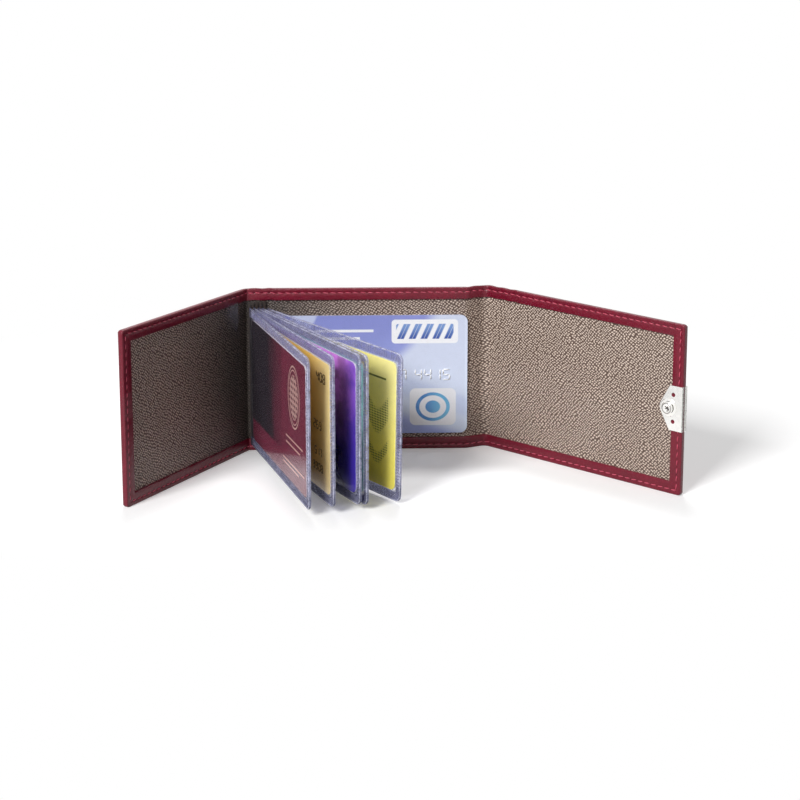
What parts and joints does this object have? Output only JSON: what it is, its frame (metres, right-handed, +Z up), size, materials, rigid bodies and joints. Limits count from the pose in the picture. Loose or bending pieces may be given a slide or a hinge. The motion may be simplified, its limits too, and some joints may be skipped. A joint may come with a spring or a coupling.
{
  "type": "trifold card case",
  "caption": "Leather card case that stands open like a screen, with clear card sleeves fanned from its left spine, window pockets and a snap flap.",
  "frame": {"origin": "middle of the back panel's bottom edge, halfway through the panel's thickness, on the surface that the case stands on", "axes": "+X along the back panel from the front cover's side to the flap's side, +Y out through the back panel, away from the side that opens, +Z up"},
  "size_m": [0.2296, 0.0955, 0.0736],
  "materials": {
    "leather": "satin",
    "lining": "matt, embossed weave",
    "board": "matt",
    "clear_film": "clear gloss",
    "sleeve_border": "clear gloss, ribbed",
    "binding": "satin",
    "window_card": "gloss",
    "card_1": "gloss",
    "card_2": "gloss",
    "card_3": "gloss",
    "card_4": "gloss",
    "card_5": "gloss",
    "nickel": "polished",
    "spring_steel": "bright"
  },
  "bodies": {
    "back": {"back_leather": "leather", "back_board": "board", "back_lining": "lining", "back_window_film": "clear_film"},
    "window_card_body": {"window_card": "window_card"},
    "left_spine": {"left_spine_leather": "leather", "left_spine_lining": "lining", "sleeve_binding": "binding"},
    "front_cover": {"cover_leather": "leather", "cover_board": "board", "cover_lining": "lining", "cover_window_film": "clear_film", "snap_socket": "nickel", "socket_spring": "spring_steel", "socket_eyelet": "nickel"},
    "flap_spine": {"flap_spine_leather": "leather", "flap_spine_lining": "lining"},
    "flap": {"flap_leather": "leather", "flap_board": "board", "flap_lining": "lining", "closure_plate": "nickel", "snap_stud": "nickel", "stud_cap": "nickel"},
    "sleeve_1": {"sleeve_1_front_film": "clear_film", "sleeve_1_back_film": "clear_film", "sleeve_1_border": "sleeve_border"},
    "card_1_body": {"card_1": "card_1"},
    "sleeve_2": {"sleeve_2_front_film": "clear_film", "sleeve_2_back_film": "clear_film", "sleeve_2_border": "sleeve_border"},
    "card_2_body": {"card_2": "card_2"},
    "sleeve_3": {"sleeve_3_front_film": "clear_film", "sleeve_3_back_film": "clear_film", "sleeve_3_border": "sleeve_border"},
    "card_3_body": {"card_3": "card_3"},
    "sleeve_4": {"sleeve_4_front_film": "clear_film", "sleeve_4_back_film": "clear_film", "sleeve_4_border": "sleeve_border"},
    "card_4_body": {"card_4": "card_4"},
    "sleeve_5": {"sleeve_5_front_film": "clear_film", "sleeve_5_back_film": "clear_film", "sleeve_5_border": "sleeve_border"},
    "card_5_body": {"card_5": "card_5"}
  },
  "joints": [
    {"name": "left_spine_fold", "type": "hinge", "parent": "back", "child": "left_spine", "pos_m": [-0.0445, -0.00133, 0.0368], "axis": [0, 0, -1], "range_deg": [-88.3, 1.7]},
    {"name": "front_cover_fold", "type": "hinge", "parent": "left_spine", "child": "front_cover", "pos_m": [-0.0535, -0.00159, 0.0368], "axis": [0, 0, -1], "range_deg": [-32.7, 57.3]},
    {"name": "flap_spine_fold", "type": "hinge", "parent": "back", "child": "flap_spine", "pos_m": [0.0493, 0.00126, 0.0368], "axis": [0, 0, 1], "range_deg": [-55.67, 20]},
    {"name": "flap_fold", "type": "hinge", "parent": "flap_spine", "child": "flap", "pos_m": [0.06316, -0.00821, 0.0368], "axis": [0, 0, 1], "range_deg": [-80.63, 23.7]},
    {"name": "window_card_slide", "type": "slide", "parent": "back", "child": "window_card_body", "axis": [1, 0, 0], "range_m": [0, 0.01]},
    {"name": "sleeve_1_turn", "type": "hinge", "parent": "left_spine", "child": "sleeve_1", "pos_m": [-0.05238, -0.00216, 0.0368], "axis": [0, 0, -1], "range_deg": [-0.31, 15.64]},
    {"name": "card_1_slide", "type": "slide", "parent": "sleeve_1", "child": "card_1_body", "axis": [-0.2957, 0.9553, 0], "range_m": [0, 0.004]},
    {"name": "sleeve_2_turn", "type": "hinge", "parent": "left_spine", "child": "sleeve_2", "pos_m": [-0.05068, -0.00211, 0.0368], "axis": [0, 0, -1], "range_deg": [-0.41, 21.02]},
    {"name": "card_2_slide", "type": "slide", "parent": "sleeve_2", "child": "card_2_body", "axis": [-0.3811, 0.9245, 0], "range_m": [0, 0.004]},
    {"name": "sleeve_3_turn", "type": "hinge", "parent": "left_spine", "child": "sleeve_3", "pos_m": [-0.04898, -0.00206, 0.0368], "axis": [0, 0, -1], "range_deg": [-0.53, 27.11]},
    {"name": "card_3_slide", "type": "slide", "parent": "sleeve_3", "child": "card_3_body", "axis": [-0.4741, 0.8805, 0.0052], "range_m": [0, 0.004]},
    {"name": "sleeve_4_turn", "type": "hinge", "parent": "left_spine", "child": "sleeve_4", "pos_m": [-0.04728, -0.00201, 0.0368], "axis": [0, 0, -1], "range_deg": [-0.55, 28.13]},
    {"name": "card_4_slide", "type": "slide", "parent": "sleeve_4", "child": "card_4_body", "axis": [-0.4863, 0.8737, 0.0087], "range_m": [0, 0.004]},
    {"name": "sleeve_5_turn", "type": "hinge", "parent": "left_spine", "child": "sleeve_5", "pos_m": [-0.04558, -0.00196, 0.0368], "axis": [0, 0, -1], "range_deg": [-0.72, 36.86]},
    {"name": "card_5_slide", "type": "slide", "parent": "sleeve_5", "child": "card_5_body", "axis": [-0.61, 0.7921, 0.0244], "range_m": [0, 0.004]}
  ],
  "couplings": [
    {"joint": "sleeve_1_turn", "follows": "left_spine_fold", "ratio": -0.17701},
    {"joint": "sleeve_2_turn", "follows": "left_spine_fold", "ratio": -0.23794},
    {"joint": "sleeve_3_turn", "follows": "left_spine_fold", "ratio": -0.30691},
    {"joint": "sleeve_4_turn", "follows": "left_spine_fold", "ratio": -0.31846},
    {"joint": "sleeve_5_turn", "follows": "left_spine_fold", "ratio": -0.41733}
  ]
}
